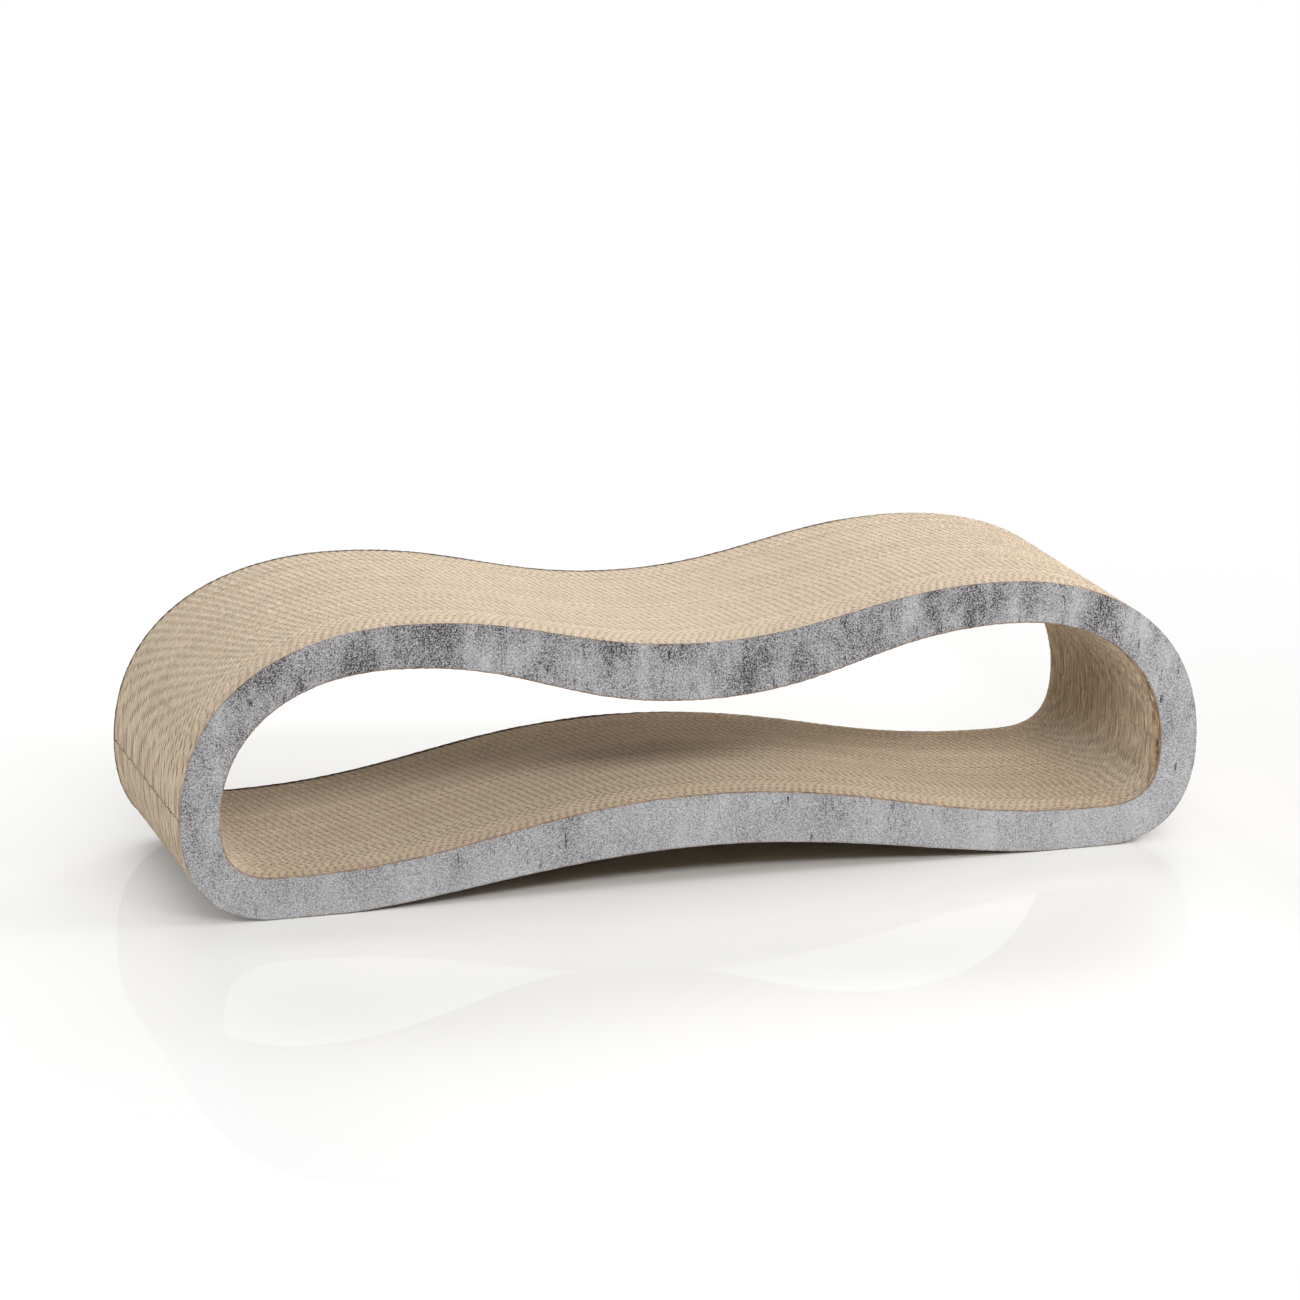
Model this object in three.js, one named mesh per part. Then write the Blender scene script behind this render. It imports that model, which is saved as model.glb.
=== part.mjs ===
// Cat scratcher lounge: a closed, wave-shaped loop of corrugated board that a cat lies on, in and under.
// The core is a stack of die-cut layers, glued face to face with their flutes upright. Every layer is cut as
// an upper and a lower half that meet in a butt joint at the two ends. A printed ring of board closes the
// front and the back, and covers the joints there.
// Millimetres. X runs along the length, Y from front to back and Z up from the floor. The origin is the
// middle of the footprint.
import * as THREE from 'three';

// Overall size of the loop. Its depth follows from the stack of board below.
const LENGTH = 820;
const HEIGHT = 222;

// Outer outline. Both halves are alike, so only the right one is described.
const FOOT_INSET = 95;       // from the end to the middle of the foot
const FOOT_FLAT = 30;        // length of the flat that the foot stands on
const ARCH_HEIGHT = 29;      // underside between the feet, at the middle
const SEAM_HEIGHT = 82;      // widest place, where the upper and lower halves meet
const HUMP_INSET = 174;      // from the end to the top of the hump
const SADDLE_DROP = 31;      // from the top of the humps down to the saddle between them

// Wall of the loop at the places where the outline turns.
const ARCH_WALL = 41.5;
const FOOT_WALL = 33;
const END_WALL = 31;
const HUMP_WALL = 34;
const SADDLE_WALL = 45;

// Inner outline: places of its turns, measured from the inner end.
const FLOOR_LOW_INSET = 53;  // to the lowest place of the floor inside
const FLOOR_LOW_FLAT = 10;   // length of the level stretch there
const CEILING_INSET = 131;   // to the highest place of the ceiling

// How far each curve follows its tangent before it turns, as a part of the way to the next turn.
const OUTER_BEND = { arch: 0.41, footIn: 0.27, footOut: 0.64, endDown: 0.68, endUp: 0.65, humpOut: 0.58,
  humpIn: 0.42, saddle: 0.42 };
const INNER_BEND = { arch: 0.43, footIn: 0.42, footOut: 0.77, endDown: 0.68, endUp: 0.56, humpOut: 0.64,
  humpIn: 0.44, saddle: 0.45 };

// Stack of board, from the front panel to the back one.
const LAYER_THICKNESS = 4.5; // one layer of corrugated board
const LAYERS_PER_PACK = 2;   // layers that are glued up together before the loop is stacked
const PACK_COUNT = 24;
const PANEL_THICKNESS = 3;   // printed side panel
const GLUE_LINE = 0.2;       // between packs, and between packs and panels
const SEAM_GAP = 0.4;        // opening of the butt joint between the halves

// Straight steps that each curve is drawn with.
const WAVE_STEPS = 7;
const CORNER_STEPS = 10;

const BOARD_COLOUR = 0xd9c9b0;
const PRINT_COLOUR = 0xa7a7a9;

const packThickness = LAYERS_PER_PACK * LAYER_THICKNESS;
const coreDepth = PACK_COUNT * packThickness + (PACK_COUNT + 1) * GLUE_LINE;
const depth = coreDepth + 2 * PANEL_THICKNESS;

function at(x, z) {
  return new THREE.Vector2(x, z);
}

// Curve between two level places of the outline, level at both.
function wave(from, to, bendFrom, bendTo) {
  const span = to.x - from.x;
  const leaving = at(from.x + span * bendFrom, from.y);
  const arriving = at(to.x - span * bendTo, to.y);
  return new THREE.CubicBezierCurve(from, leaving, arriving, to);
}

// Curve from a level place of the outline to the end of the loop, where the outline is upright.
function corner(level, end, bendLevel, bendEnd) {
  const leaving = at(level.x + (end.x - level.x) * bendLevel, level.y);
  const arriving = at(end.x, end.y + (level.y - end.y) * bendEnd);
  return new THREE.CubicBezierCurve(level, leaving, arriving, end);
}

// Right half of an outline's lower part, from the middle over the foot to the end.
function lowerRight(outline, endHeight) {
  const flatStart = at(outline.lowX - outline.lowFlat / 2, outline.lowHeight);
  const flatEnd = at(outline.lowX + outline.lowFlat / 2, outline.lowHeight);
  const end = at(outline.endX, endHeight);
  const bend = outline.bend;
  const ramp = wave(at(0, outline.bottomHeight), flatStart, bend.arch, bend.footIn);
  const turn = corner(flatEnd, end, bend.footOut, bend.endDown);
  return [...ramp.getPoints(WAVE_STEPS), ...turn.getPoints(CORNER_STEPS)];
}

// Right half of an outline's upper part, from the middle over the hump to the end.
function upperRight(outline, endHeight) {
  const top = at(outline.highX, outline.highHeight);
  const end = at(outline.endX, endHeight);
  const bend = outline.bend;
  const rise = wave(at(0, outline.topHeight), top, bend.saddle, bend.humpIn);
  const turn = corner(top, end, bend.humpOut, bend.endUp);
  return [...rise.getPoints(WAVE_STEPS), ...turn.getPoints(CORNER_STEPS).slice(1)];
}

// The right half and its mirror image, as one run of points from the left end to the right end.
function endToEnd(rightHalf) {
  const leftHalf = rightHalf.slice(1).reverse().map((point) => at(-point.x, point.y));
  return [...leftHalf, ...rightHalf];
}

// Closed outline: over the top from left to right, then back along the underside.
function closedOutline(outline) {
  const over = endToEnd(upperRight(outline, SEAM_HEIGHT));
  const under = endToEnd(lowerRight(outline, SEAM_HEIGHT)).reverse();
  return [...over, ...under.slice(1, -1)];
}

const outer = {
  bottomHeight: ARCH_HEIGHT,
  lowX: LENGTH / 2 - FOOT_INSET,
  lowFlat: FOOT_FLAT,
  lowHeight: 0,
  endX: LENGTH / 2,
  highX: LENGTH / 2 - HUMP_INSET,
  highHeight: HEIGHT,
  topHeight: HEIGHT - SADDLE_DROP,
  bend: OUTER_BEND,
};

const innerEnd = LENGTH / 2 - END_WALL;
const inner = {
  bottomHeight: ARCH_HEIGHT + ARCH_WALL,
  lowX: innerEnd - FLOOR_LOW_INSET,
  lowFlat: FLOOR_LOW_FLAT,
  lowHeight: FOOT_WALL,
  endX: innerEnd,
  highX: innerEnd - CEILING_INSET,
  highHeight: HEIGHT - HUMP_WALL,
  topHeight: outer.topHeight - SADDLE_WALL,
  bend: INNER_BEND,
};

// Half loops of the core, from one butt joint to the other, and the whole loop of a side panel.
const upperEnd = SEAM_HEIGHT + SEAM_GAP / 2;
const upperShape = new THREE.Shape([
  ...endToEnd(upperRight(outer, upperEnd)),
  ...endToEnd(upperRight(inner, upperEnd)).reverse(),
]);

const lowerEnd = SEAM_HEIGHT - SEAM_GAP / 2;
const lowerShape = new THREE.Shape([
  ...endToEnd(lowerRight(outer, lowerEnd)),
  ...endToEnd(lowerRight(inner, lowerEnd)).reverse(),
]);

// The hole of the panel runs the other way round than its outside.
const panelShape = new THREE.Shape(closedOutline(outer));
panelShape.holes.push(new THREE.Path(closedOutline(inner).reverse()));

// A slab cut to a shape, standing upright with its front face at the given place along Y.
function slab(name, shape, thickness, front, colour, roughness) {
  const geometry = new THREE.ExtrudeGeometry(shape, { depth: thickness, bevelEnabled: false });
  const material = new THREE.MeshStandardMaterial({ color: colour, roughness, metalness: 0 });
  const mesh = new THREE.Mesh(geometry, material);
  mesh.name = name;
  mesh.rotation.x = Math.PI / 2;
  mesh.position.y = front + thickness;
  return mesh;
}

const lounge = new THREE.Group();
const core = new THREE.Group();
lounge.add(core);

const panelFront = -depth / 2;
const panelBack = depth / 2 - PANEL_THICKNESS;
lounge.add(slab('front_side_panel', panelShape, PANEL_THICKNESS, panelFront, PRINT_COLOUR, 0.7));
lounge.add(slab('back_side_panel', panelShape, PANEL_THICKNESS, panelBack, PRINT_COLOUR, 0.7));

core.position.y = -coreDepth / 2;
for (let pack = 0; pack < PACK_COUNT; pack += 1) {
  const front = GLUE_LINE + pack * (packThickness + GLUE_LINE);
  const number = String(pack + 1).padStart(2, '0');
  core.add(slab(`upper_pack_${number}`, upperShape, packThickness, front, BOARD_COLOUR, 0.95));
  core.add(slab(`lower_pack_${number}`, lowerShape, packThickness, front, BOARD_COLOUR, 0.95));
}

export default lounge;
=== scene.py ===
# %% [markdown]
# # A cat scratcher lounge of corrugated board
# The object is a closed, wave-shaped loop. Its core is a stack of corrugated layers with upright
# flutes, and a printed ring of board closes the front and the back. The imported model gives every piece
# its place. The looks are built around it here, in metres, with X along the length, Y to the back and Z
# up.

# %% Load the frame
import math
import bpy
import numpy as np
from mathutils import Matrix, Vector


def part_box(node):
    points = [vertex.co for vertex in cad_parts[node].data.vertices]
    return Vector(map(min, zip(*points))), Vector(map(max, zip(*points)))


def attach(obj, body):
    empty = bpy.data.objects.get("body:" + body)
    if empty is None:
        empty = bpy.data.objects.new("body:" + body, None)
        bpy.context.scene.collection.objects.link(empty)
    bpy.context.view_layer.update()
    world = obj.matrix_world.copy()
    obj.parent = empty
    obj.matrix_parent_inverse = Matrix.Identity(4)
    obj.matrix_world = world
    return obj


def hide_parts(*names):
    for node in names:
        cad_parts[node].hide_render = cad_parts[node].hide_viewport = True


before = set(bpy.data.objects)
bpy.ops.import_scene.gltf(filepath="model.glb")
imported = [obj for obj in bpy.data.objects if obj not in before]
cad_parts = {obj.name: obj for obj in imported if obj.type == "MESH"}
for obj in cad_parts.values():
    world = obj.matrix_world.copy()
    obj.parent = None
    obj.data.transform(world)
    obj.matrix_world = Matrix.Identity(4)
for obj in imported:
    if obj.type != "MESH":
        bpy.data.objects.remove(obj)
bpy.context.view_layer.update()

# %% [markdown]
# ## Camera
# The photograph was taken with a long lens from the front left, a little above the object. A long lens
# keeps the far end almost as large as the near one. The angles and the distance were fitted to the
# outline of the front panel, so the camera is set straight from its three angles and is not aimed by
# eye.

# %% Camera at the photograph's place
YAW, PITCH, ROLL = math.radians(18.27), math.radians(15.517), math.radians(0.766)
CAMERA_PLACE = (-1.2069, -3.6324, 1.2173)
SENSOR_WIDTH, LENS = 36.0, 140.8  # millimetres

look = Vector((math.sin(YAW) * math.cos(PITCH), math.cos(YAW) * math.cos(PITCH), -math.sin(PITCH)))
level = Vector((math.cos(YAW), -math.sin(YAW), 0.0))
upright = level.cross(look)
right = math.cos(ROLL) * level + math.sin(ROLL) * upright
top = math.cos(ROLL) * upright - math.sin(ROLL) * level
turn = Matrix((right, top, -look)).transposed()

camera_data = bpy.data.cameras.new("photo_camera")
camera_data.sensor_width, camera_data.lens = SENSOR_WIDTH, LENS
camera = bpy.data.objects.new("photo_camera", camera_data)
camera.matrix_world = Matrix.Translation(CAMERA_PLACE) @ turn.to_4x4()
bpy.context.scene.collection.objects.link(camera)
bpy.context.scene.camera = camera
print("camera", round(camera.location.length, 3), "m from the origin, lens", LENS, "mm")

# %% [markdown]
# ## Sizes of the loop
# Every layer of the real object is die-cut to the same pair of curves, an outer and an inner one. The
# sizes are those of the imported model. Both curves are level at the arch, the foot, the hump and the
# saddle, and upright at the end, so the places of these turns describe the whole loop. A bend says how
# far the curve follows its tangent before it turns, as a part of the way to the next turn. Only the
# right half is described, because the left half is its mirror image.

# %% Sizes in millimetres
MM = 0.001
LENGTH, HEIGHT = 820.0, 222.0
FOOT_INSET, FOOT_FLAT, ARCH_HEIGHT = 95.0, 30.0, 29.0
HUMP_INSET, SADDLE_DROP = 174.0, 31.0
SEAM_HEIGHT = 82.0
ARCH_WALL, FOOT_WALL, END_WALL, HUMP_WALL, SADDLE_WALL = 41.5, 33.0, 31.0, 34.0, 45.0
FLOOR_LOW_INSET, FLOOR_LOW_FLAT, CEILING_INSET = 53.0, 10.0, 131.0
OUTER_END = LENGTH / 2
INNER_END = OUTER_END - END_WALL

OUTER = {
    "bottom": ARCH_HEIGHT, "top": HEIGHT - SADDLE_DROP, "end": OUTER_END,
    "low": 0.0, "low_x": OUTER_END - FOOT_INSET, "low_flat": FOOT_FLAT,
    "high": HEIGHT, "high_x": OUTER_END - HUMP_INSET,
    "bend": {"arch": 0.41, "foot_in": 0.27, "foot_out": 0.64, "end_down": 0.68,
             "end_up": 0.65, "hump_out": 0.58, "hump_in": 0.42, "saddle": 0.42},
}
INNER = {
    "bottom": ARCH_HEIGHT + ARCH_WALL, "top": HEIGHT - SADDLE_DROP - SADDLE_WALL, "end": INNER_END,
    "low": FOOT_WALL, "low_x": INNER_END - FLOOR_LOW_INSET, "low_flat": FLOOR_LOW_FLAT,
    "high": HEIGHT - HUMP_WALL, "high_x": INNER_END - CEILING_INSET,
    "bend": {"arch": 0.43, "foot_in": 0.42, "foot_out": 0.77, "end_down": 0.68,
             "end_up": 0.56, "hump_out": 0.64, "hump_in": 0.44, "saddle": 0.45},
}
print("the loop is", LENGTH, "by", HEIGHT, "mm and its hollow is", 2 * INNER_END, "mm long")

# %% [markdown]
# ## Outline of the loop
# Each curve is a chain of cubic Bezier pieces between its turns. A wave joins two level places, and a
# corner joins a level place to the upright end. Neighbouring pieces share a tangent, so the outline has
# no kink, as with a cutting rule that is bent from one strip of steel.

# %% Pieces of a curve


def bezier(p0, p1, p2, p3, steps):
    """Points of a cubic curve from p0 to p3, drawn towards p1 and p2."""
    t = np.linspace(0.0, 1.0, steps + 1)[:, None]
    p0, p1, p2, p3 = (np.array(p, float) for p in (p0, p1, p2, p3))
    return (1 - t) ** 3 * p0 + 3 * (1 - t) ** 2 * t * p1 + 3 * (1 - t) * t**2 * p2 + t**3 * p3


def wave(start, stop, bend_start, bend_stop, steps):
    """Curve between two level places."""
    span = stop[0] - start[0]
    leaving = (start[0] + span * bend_start, start[1])
    arriving = (stop[0] - span * bend_stop, stop[1])
    return bezier(start, leaving, arriving, stop, steps)


def corner(level_place, end, bend_level, bend_end, steps):
    """Curve from a level place to the upright end of the loop."""
    leaving = (level_place[0] + (end[0] - level_place[0]) * bend_level, level_place[1])
    arriving = (end[0], end[1] + (level_place[1] - end[1]) * bend_end)
    return bezier(level_place, leaving, arriving, end, steps)


print("middle of a test wave:", wave((0.0, 0.0), (2.0, 1.0), 0.5, 0.5, 2)[1].tolist())

# %% [markdown]
# ## Halves of an outline
# The underside runs from the arch over the flat of the foot up to the end. The top runs from the saddle
# over the hump down to the same place, where the two halves of a layer meet.

# %% Underside and top


def lower_right(outline, steps):
    """From the middle of the underside over the foot to the end."""
    bend = outline["bend"]
    flat_start = (outline["low_x"] - outline["low_flat"] / 2, outline["low"])
    flat_end = (outline["low_x"] + outline["low_flat"] / 2, outline["low"])
    ramp = wave((0.0, outline["bottom"]), flat_start, bend["arch"], bend["foot_in"], steps)
    turn_up = corner(flat_end, (outline["end"], SEAM_HEIGHT), bend["foot_out"], bend["end_down"], steps)
    return np.vstack([ramp, turn_up])


def upper_right(outline, steps):
    """From the middle of the saddle over the hump to the end."""
    bend = outline["bend"]
    crest = (outline["high_x"], outline["high"])
    rise = wave((0.0, outline["top"]), crest, bend["saddle"], bend["hump_in"], steps)
    turn_down = corner(crest, (outline["end"], SEAM_HEIGHT), bend["hump_out"], bend["end_up"], steps)
    return np.vstack([rise, turn_down[1:]])


print("a coarse half of the outer top:", np.round(upper_right(OUTER, 2)).tolist())

# %% [markdown]
# ## Heights of the wall
# A thin sheet that is cut to the outline needs only its lowest and highest place at each point along X,
# so the curves are read as heights here. The two halves of a layer meet in a butt joint at each end.
# The joint is tight inside and gapes a little outside, which shows as a thin line across the left end.

# %% Heights along the length
CURVE_STEPS = 400
SEAM_TIGHT, SEAM_OPENING = 0.1, 1.9
CURVES = {"outer_top": upper_right(OUTER, CURVE_STEPS), "outer_bottom": lower_right(OUTER, CURVE_STEPS),
          "ceiling": upper_right(INNER, CURVE_STEPS), "floor": lower_right(INNER, CURVE_STEPS)}


def height_of(curve, x):
    """Height of a curve at places along X, on either side of the middle."""
    points = CURVES[curve]
    return np.interp(np.abs(x), points[:, 0], points[:, 1])


def wall_heights(half, x):
    """Lowest and highest place of the upper or lower half of the loop, at places along X."""
    beyond = np.abs(x) >= INNER_END
    gape = np.interp(np.abs(x), [INNER_END, OUTER_END], [SEAM_TIGHT, SEAM_OPENING]) / 2
    if half == "upper":
        low = np.where(beyond, SEAM_HEIGHT, height_of("ceiling", x))
        return np.maximum(low, SEAM_HEIGHT + gape), height_of("outer_top", x)
    high = np.where(beyond, SEAM_HEIGHT, height_of("floor", x))
    return height_of("outer_bottom", x), np.minimum(high, SEAM_HEIGHT - gape)


print("wall at the saddle:", height_of("outer_top", 0.0) - height_of("ceiling", 0.0), "mm")

# %% [markdown]
# ## Sheets of paper
# One layer of corrugated board is a wavy medium between two flat liners. A scratcher shows the cut edge
# of thousands of these waves, so a bump in the material would not do: from above one looks into the
# flutes, and at the ends the knife has opened them lengthwise. Each sheet of paper is therefore real
# geometry. The flutes stand upright, so a sheet is a ruled strip: it needs only a low and a high edge
# at each place along X. That keeps a pack light, and the outline cuts every flute where the real knife
# does.

# %% Ruled sheet
BAND_START, BAND_STEP, BAND_WIDTH = 0.02, 0.24, 0.20  # map bands of the four long sides
END_BAND = [0.97, 0.97, 0.99, 0.99]  # map band of both ends


def sheet_map(x):
    """Place on the map of each corner of each face, with a band for each long side."""
    u = (x + OUTER_END) / LENGTH
    a, b, zero, one = u[:-1], u[1:], np.zeros(len(x) - 1), np.ones(len(x) - 1)
    forth, back = np.stack([a, b, b, a], 1), np.stack([b, a, a, b], 1)
    along = [forth, forth, back, forth, np.array([[u[0]] * 4, [u[-1]] * 4])]
    across = np.stack([zero, zero, one, one], 1)
    bands = [BAND_START + BAND_STEP * k + BAND_WIDTH * across for k in range(4)]
    bands.append(np.array([END_BAND] * 2))
    return np.stack([np.vstack(along), np.vstack(bands)], 2).reshape(-1, 2)


def ruled_sheet(x, front, back, low, high):
    """Closed thin sheet with upright edges. Returns its points, faces, map places and cut-edge mask."""
    n = len(x)
    points = np.empty((n, 4, 3))
    for k, (y, z) in enumerate(((front, low), (front, high), (back, high), (back, low))):
        points[:, k, 0], points[:, k, 1], points[:, k, 2] = x, y, z
    i = np.arange(n - 1) * 4
    j = i + 4
    sides = [np.column_stack(q) for q in ((i, j, j + 1, i + 1), (i + 1, j + 1, j + 2, i + 2),
                                         (j + 3, i + 3, i + 2, j + 2), (i + 3, j + 3, j, i))]
    last = 4 * (n - 1)
    caps = np.array([[0, 1, 2, 3], [last + 3, last + 2, last + 1, last]])
    cut = np.concatenate([np.repeat([0.0, 1.0, 0.0, 1.0], n - 1), [1.0, 1.0]])
    return points.reshape(-1, 3), np.vstack(sides + [caps]), sheet_map(x), cut


test_sheet = ruled_sheet(np.array([0.0, 1.0]), 0.0, 1.0, 0.0, 1.0)
print("a sheet with one step has", len(test_sheet[0]), "points and", len(test_sheet[1]), "faces")

# %% [markdown]
# ## Places along a liner
# A flat liner needs points only where the outline bends. Close to the ends of the loop and of the
# hollow the outline is steep, so every sheet gets some more places there.

# %% Places along a liner
LINER_STRIDE = 16  # points of the curve from one place of a liner to the next
END_STEPS = np.array([0.004, 0.12, 0.4, 0.9, 1.7, 2.9, 4.5, 6.5])
END_CLEARANCE = 0.003


def end_places(end):
    """Places just before an end of a curve and its mirror image."""
    return np.concatenate([end - END_STEPS, END_STEPS - end])


def in_order(x):
    """All places once and in order, with some more close to the ends."""
    extra = np.concatenate([end_places(OUTER_END), end_places(INNER_END), [INNER_END, -INNER_END]])
    x = np.unique(np.round(np.concatenate([x, extra]), 4))
    return x[np.abs(x) < OUTER_END - END_CLEARANCE]


half_run = CURVES["outer_top"][::LINER_STRIDE, 0]
LINER_X = in_order(np.concatenate([half_run, -half_run]))
print("places along a liner:", len(LINER_X))

# %% [markdown]
# ## Waves of a medium
# A wavy medium is drawn with six corners for each wave: two on each crest and one on each slope between
# them. No two flutes of real board are quite alike, so the corners wander along the sheet, slowly over
# many flutes and a little from one to the next, and a few flutes are crushed.

# %% Places along a medium
FLUTES = 128.0  # along the length
WAVE = np.array([0.0, 1.0, 1.0, 0.0, -1.0, -1.0])
SPARE_CORNERS = 14
WANDER, WANDER_LIMIT = 0.03, 0.07  # parts of a flute
KNOT_STRIDE, KNOT_WANDER = 40, 0.04
CRUSHED_SHARE, CRUSHED_LEVEL, CRUSHED_RUN = 0.04, 0.55, 3
rng = np.random.default_rng(21)


def medium_places(flutes, phase, uneven=0.0):
    """Places along X of the corners of the waves, and how far each lies from the middle, from -1 to 1.
    An uneven medium wanders more."""
    k = np.arange(-1, len(WAVE) * int(flutes) + SPARE_CORNERS)
    wander = np.clip(rng.normal(0.0, WANDER, len(k)), -WANDER_LIMIT, WANDER_LIMIT)
    knots = rng.normal(0.0, KNOT_WANDER + uneven, len(k) // KNOT_STRIDE + 2)
    wander += np.interp(k, np.arange(len(knots)) * KNOT_STRIDE, knots)
    x = (k / len(WAVE) - phase + wander) * LENGTH / flutes - OUTER_END
    crushed = np.where(rng.uniform(size=len(k)) < CRUSHED_SHARE, CRUSHED_LEVEL, 1.0)
    levels = WAVE[k % len(WAVE)] * np.repeat(crushed, CRUSHED_RUN)[: len(k)]
    every = in_order(x)
    return every, np.interp(every, x, levels)


test_places, _ = medium_places(FLUTES, 0.3)
print("places along a medium:", len(test_places))

# %% [markdown]
# ## Flutes from layer to layer
# Both halves of a layer are cut from one sheet of board, so they show the same order of flutes. In the
# photograph the flutes of each layer start a steady step beside those of the layer in front, which
# draws the slanting rows of dots. The first layers come from a batch with slightly closer flutes and a
# larger step, so the rows near the front slant the other way. The steps below were measured in the
# photograph.

# %% Flutes of each layer
PACK_LAYERS = 2
LAYERS = PACK_LAYERS * sum("upper_pack_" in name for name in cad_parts)
BATCH = ([0, 6, 15, LAYERS], [131.0, 130.5, 127.5, 127.5])  # layer, flutes along the length
STEP = ([0, 4, 6, 9, 14, 17], [0.74, 0.66, 0.46, 0.34, 0.28, 0.178])  # layer, step in flutes
STEP_SPREAD, SHIFT_SPREAD, HALF_SHIFT = 0.015, 0.03, 0.4

number = np.arange(LAYERS)
step = np.interp(number, *STEP) + rng.normal(0.0, STEP_SPREAD, LAYERS)
shift = np.cumsum(step) + rng.normal(0.0, SHIFT_SPREAD, LAYERS)
layer_flutes = {"upper": np.column_stack([np.interp(number, *BATCH), shift])}
half_shift = HALF_SHIFT + rng.normal(0.0, SHIFT_SPREAD, LAYERS)
layer_flutes["lower"] = layer_flutes["upper"] + np.column_stack([np.zeros(LAYERS), half_shift])
print(LAYERS, "layers, flutes along the first and last one:", layer_flutes["upper"][[0, -1], 0])

# %% [markdown]
# ## Cut to the outline
# The knife cuts liners and media along the same curves. The edges get a little unevenness of a few
# tenths of a millimetre, as a knife cut has. A medium keeps its paper thickness on the slopes of its
# waves, so it is made thicker along Y there, and it always stays between its liners.

# %% Sheets cut to the outline
LINER, MEDIUM = 0.34, 0.28  # thickness of the paper
RAGGED, RAGGED_WALL = 0.22, 12.0  # unevenness, and the wall from which on it is full
LEAST_HEIGHT, LINER_CLEARANCE = 0.05, 0.01
STEEPEST = 1.2


def ragged(x, low, high, lift=0.0):
    """Cut edges that wander a little. The ends stay on the outline."""
    inside = np.clip((high - low) / RAGGED_WALL, 0.0, 1.0)
    low = low + inside * (rng.uniform(0.0, RAGGED, len(x)) + max(lift, 0.0))
    high = high + inside * (rng.uniform(-RAGGED, 0.0, len(x)) + min(lift, 0.0))
    return low, np.maximum(high, low + LEAST_HEIGHT)


def flat_liner(half, front, back):
    """Liner of one half, between two places along Y."""
    low, high = ragged(LINER_X, *wall_heights(half, LINER_X))
    return ruled_sheet(LINER_X, front, back, low, high)


def wavy_medium(half, flutes, phase, front, back, slip=0.0, lift=0.0, uneven=0.0):
    """Medium of one half, between two places along Y. It may lie out of line by a slip and a lift."""
    x, levels = medium_places(flutes, phase, uneven)
    slope = np.gradient(levels, x)
    reach = (back - front) / 2 - MEDIUM / 2 - LINER_CLEARANCE
    thick = MEDIUM / 2 * np.sqrt(1 + np.minimum(slope * reach, STEEPEST) ** 2)
    middle = (front + back) / 2 + levels * reach
    thick = np.minimum(thick, np.minimum(middle - front, back - middle) - LINER_CLEARANCE / 2)
    low, high = ragged(x, *wall_heights(half, x), lift)
    return ruled_sheet(x + slip, middle - thick, middle + thick, low, high)


print("paper of", LINER, "and", MEDIUM, "mm, edges uneven by up to", RAGGED, "mm")

# %% [markdown]
# ## Mesh of a piece
# All pieces are meshes of faces with four corners, filled straight from arrays, because there are many
# thousand faces. They are shaded smooth along the waves, and the cut edges stay sharp.

# %% Mesh of a piece
SHARP_ANGLE = 55  # degrees


def write_values(mesh, name, domain, values):
    """Keep a value for each face or point of a mesh."""
    attribute = mesh.attributes.new(name, "FLOAT", domain)
    attribute.data.foreach_set("value", values.astype(np.float32))


def mesh_piece(name, points, faces, uv, face_values, materials):
    """Object from points in metres and faces with four corners, with its map and values."""
    mesh = bpy.data.meshes.new(name)
    mesh.vertices.add(len(points))
    mesh.vertices.foreach_set("co", points.astype(np.float32).ravel())
    mesh.loops.add(faces.size)
    mesh.loops.foreach_set("vertex_index", faces.astype(np.int32).ravel())
    mesh.polygons.add(len(faces))
    mesh.polygons.foreach_set("loop_start", np.arange(0, faces.size, 4, dtype=np.int32))
    mesh.update(calc_edges=True)
    layer = mesh.uv_layers.new(name="OFBake", do_init=False)
    layer.uv.foreach_set("vector", uv.astype(np.float32).ravel())
    for value_name, values in face_values.items():
        write_values(mesh, value_name, "FACE", values)
    mesh.polygons.foreach_set("use_smooth", np.ones(len(faces), dtype=bool))
    mesh.set_sharp_from_angle(angle=math.radians(SHARP_ANGLE))
    for material in materials:
        mesh.materials.append(material)
    piece = bpy.data.objects.new(name, mesh)
    bpy.context.scene.collection.objects.link(piece)
    return piece


print("edges of more than", SHARP_ANGLE, "degrees stay sharp")

# %% [markdown]
# ## Sheets joined to a piece
# The sheets of one piece become one mesh. Values on its faces tell the material which paper a face
# belongs to, how pale that sheet is, and whether the face is a cut edge. The map is given a row for
# each sheet, because the order of the faces is known.

# %% Join sheets


def join_sheets(name, sheets, tones, fluted, darkness, material):
    """One piece from several closed sheets, with a map row, a tone and a kind of paper for each."""
    points, faces, uv = [], [], []
    start = 0
    for row, (sheet_points, sheet_faces, sheet_uv, _) in enumerate(sheets):
        points.append(sheet_points * MM)
        faces.append(sheet_faces + start)
        uv.append(np.column_stack([sheet_uv[:, 0], (row + sheet_uv[:, 1]) / len(sheets)]))
        start += len(sheet_points)
    face_counts = [len(sheet_faces) for sheet_faces in faces]
    values = {"cut_edge": np.concatenate([sheet[3] for sheet in sheets]),
              "sheet_tone": np.repeat(tones, face_counts),
              "fluted_paper": np.repeat(fluted, face_counts),
              "edge_dark": np.full(sum(face_counts), darkness)}
    return mesh_piece(name, np.vstack(points), np.vstack(faces), np.vstack(uv), values, [material])


print("a pack will have", 2 * PACK_LAYERS + 1, "sheets")

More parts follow.
